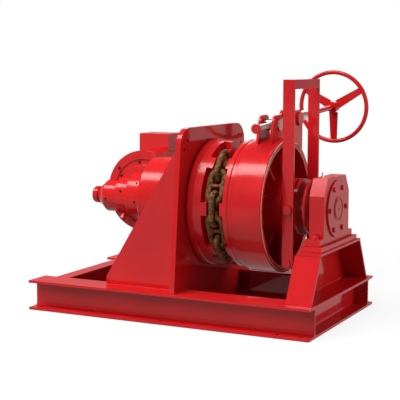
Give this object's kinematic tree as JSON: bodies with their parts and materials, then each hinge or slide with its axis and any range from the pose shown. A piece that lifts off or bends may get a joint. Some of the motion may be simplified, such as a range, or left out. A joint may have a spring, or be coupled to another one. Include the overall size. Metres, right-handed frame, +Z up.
{
  "type": "hydraulic chain winch",
  "caption": "Skid-mounted hydraulic winch: chain wheel with brake drum, band brake and handwheel, claw clutch with hand lever, gearbox and radial motor.",
  "frame": {"origin": "on the floor at the middle of the skid, centre of the corner foundation bolts, under the drum shaft", "axes": "+X along the drum shaft towards the bearing end, -Y the front with the chain, +Z up"},
  "size_m": [1.62, 1.4171, 1.2871],
  "materials": {
    "red_paint": "glossy",
    "bare_steel": "satin",
    "rusty_steel": "matte",
    "bronze": "satin",
    "brake_lining": "matte"
  },
  "bodies": {
    "skid": {"front_beam": "red_paint", "rear_beam": "red_paint", "left_cross_beam": "red_paint", "middle_cross_beam": "red_paint", "right_cross_beam": "red_paint", "gearbox_plate": "red_paint", "front_gusset": "red_paint", "rear_gusset": "red_paint", "gearbox_housing": "red_paint", "output_bearing": "bare_steel", "gearbox_screws": "red_paint", "input_stages": "red_paint", "brake_housing": "red_paint", "nose_cap": "red_paint", "stage_plugs": "bare_steel", "motor_body": "red_paint", "motor_cover": "red_paint", "motor_screws": "bare_steel", "valve_block": "red_paint", "valve_lid": "red_paint", "valve_screws": "red_paint", "port_fittings": "red_paint", "pedestal_front_leg": "red_paint", "pedestal_rear_leg": "red_paint", "pedestal_web": "red_paint", "pedestal_top_plate": "red_paint", "shim": "red_paint", "bearing_housing": "red_paint", "bearing_outer_ring": "bare_steel", "bearing_cover": "red_paint", "cover_screws": "red_paint", "foot_bolts": "red_paint", "grease_nipple": "bare_steel", "lever_brackets": "red_paint", "lever_pivot_pins": "red_paint", "anchor_bracket": "red_paint", "anchor_pin": "bare_steel"},
    "shaft": {"drive_shaft": "bare_steel", "feather_keys": "bare_steel", "stop_disc": "red_paint", "bearing_inner_ring": "bare_steel", "bearing_rollers": "bare_steel", "shaft_end_plate": "bare_steel"},
    "wheel": {"chain_wheel": "red_paint", "hub_bushes": "bronze", "brake_drum": "red_paint", "drum_bolts": "red_paint", "dog_ring": "red_paint", "chain": "rusty_steel"},
    "clutch": {"clutch_sleeve": "red_paint"},
    "lever": {"lever_frame": "red_paint", "shifter_pins": "red_paint"},
    "front_band_half": {"front_band": "red_paint", "front_lining": "brake_lining", "front_trunnion": "bare_steel"},
    "rear_band_half": {"rear_band": "red_paint", "rear_lining": "brake_lining", "rear_trunnion": "red_paint"},
    "handwheel_spindle": {"spindle": "bare_steel", "handwheel": "red_paint"}
  },
  "joints": [
    {"name": "shaft_spin", "type": "hinge", "parent": "skid", "child": "shaft", "pos_m": [0, 0, 0.587], "axis": [1, 0, 0], "continuous": true},
    {"name": "wheel_spin", "type": "hinge", "parent": "skid", "child": "wheel", "pos_m": [0.203, 0, 0.587], "axis": [1, 0, 0], "continuous": true},
    {"name": "clutch_slide", "type": "slide", "parent": "shaft", "child": "clutch", "axis": [1, 0, 0], "range_m": [-0.0201, 0]},
    {"name": "lever_tilt", "type": "hinge", "parent": "skid", "child": "lever", "pos_m": [0.57, 0, 0.314], "axis": [0, 1, 0], "range_deg": [-4.2, 0]},
    {"name": "front_band_swing", "type": "hinge", "parent": "skid", "child": "front_band_half", "pos_m": [0.4155, 0.18028, 0.24795], "axis": [1, 0, 0], "range_deg": [-0.31, 0]},
    {"name": "rear_band_swing", "type": "hinge", "parent": "skid", "child": "rear_band_half", "pos_m": [0.4155, 0.18028, 0.24795], "axis": [1, 0, 0], "range_deg": [0, 0.31]},
    {"name": "handwheel_turn", "type": "hinge", "parent": "rear_band_half", "child": "handwheel_spindle", "pos_m": [0.4155, 0.244, 1.02777], "axis": [0, 0.9978, 0.0663], "range_deg": [0, 360]}
  ],
  "couplings": [
    {"joint": "clutch_slide", "follows": "lever_tilt", "m_per_rad": 0.273},
    {"joint": "front_band_swing", "follows": "handwheel_turn", "ratio": -0.000861},
    {"joint": "rear_band_swing", "follows": "handwheel_turn", "ratio": 0.000861}
  ]
}
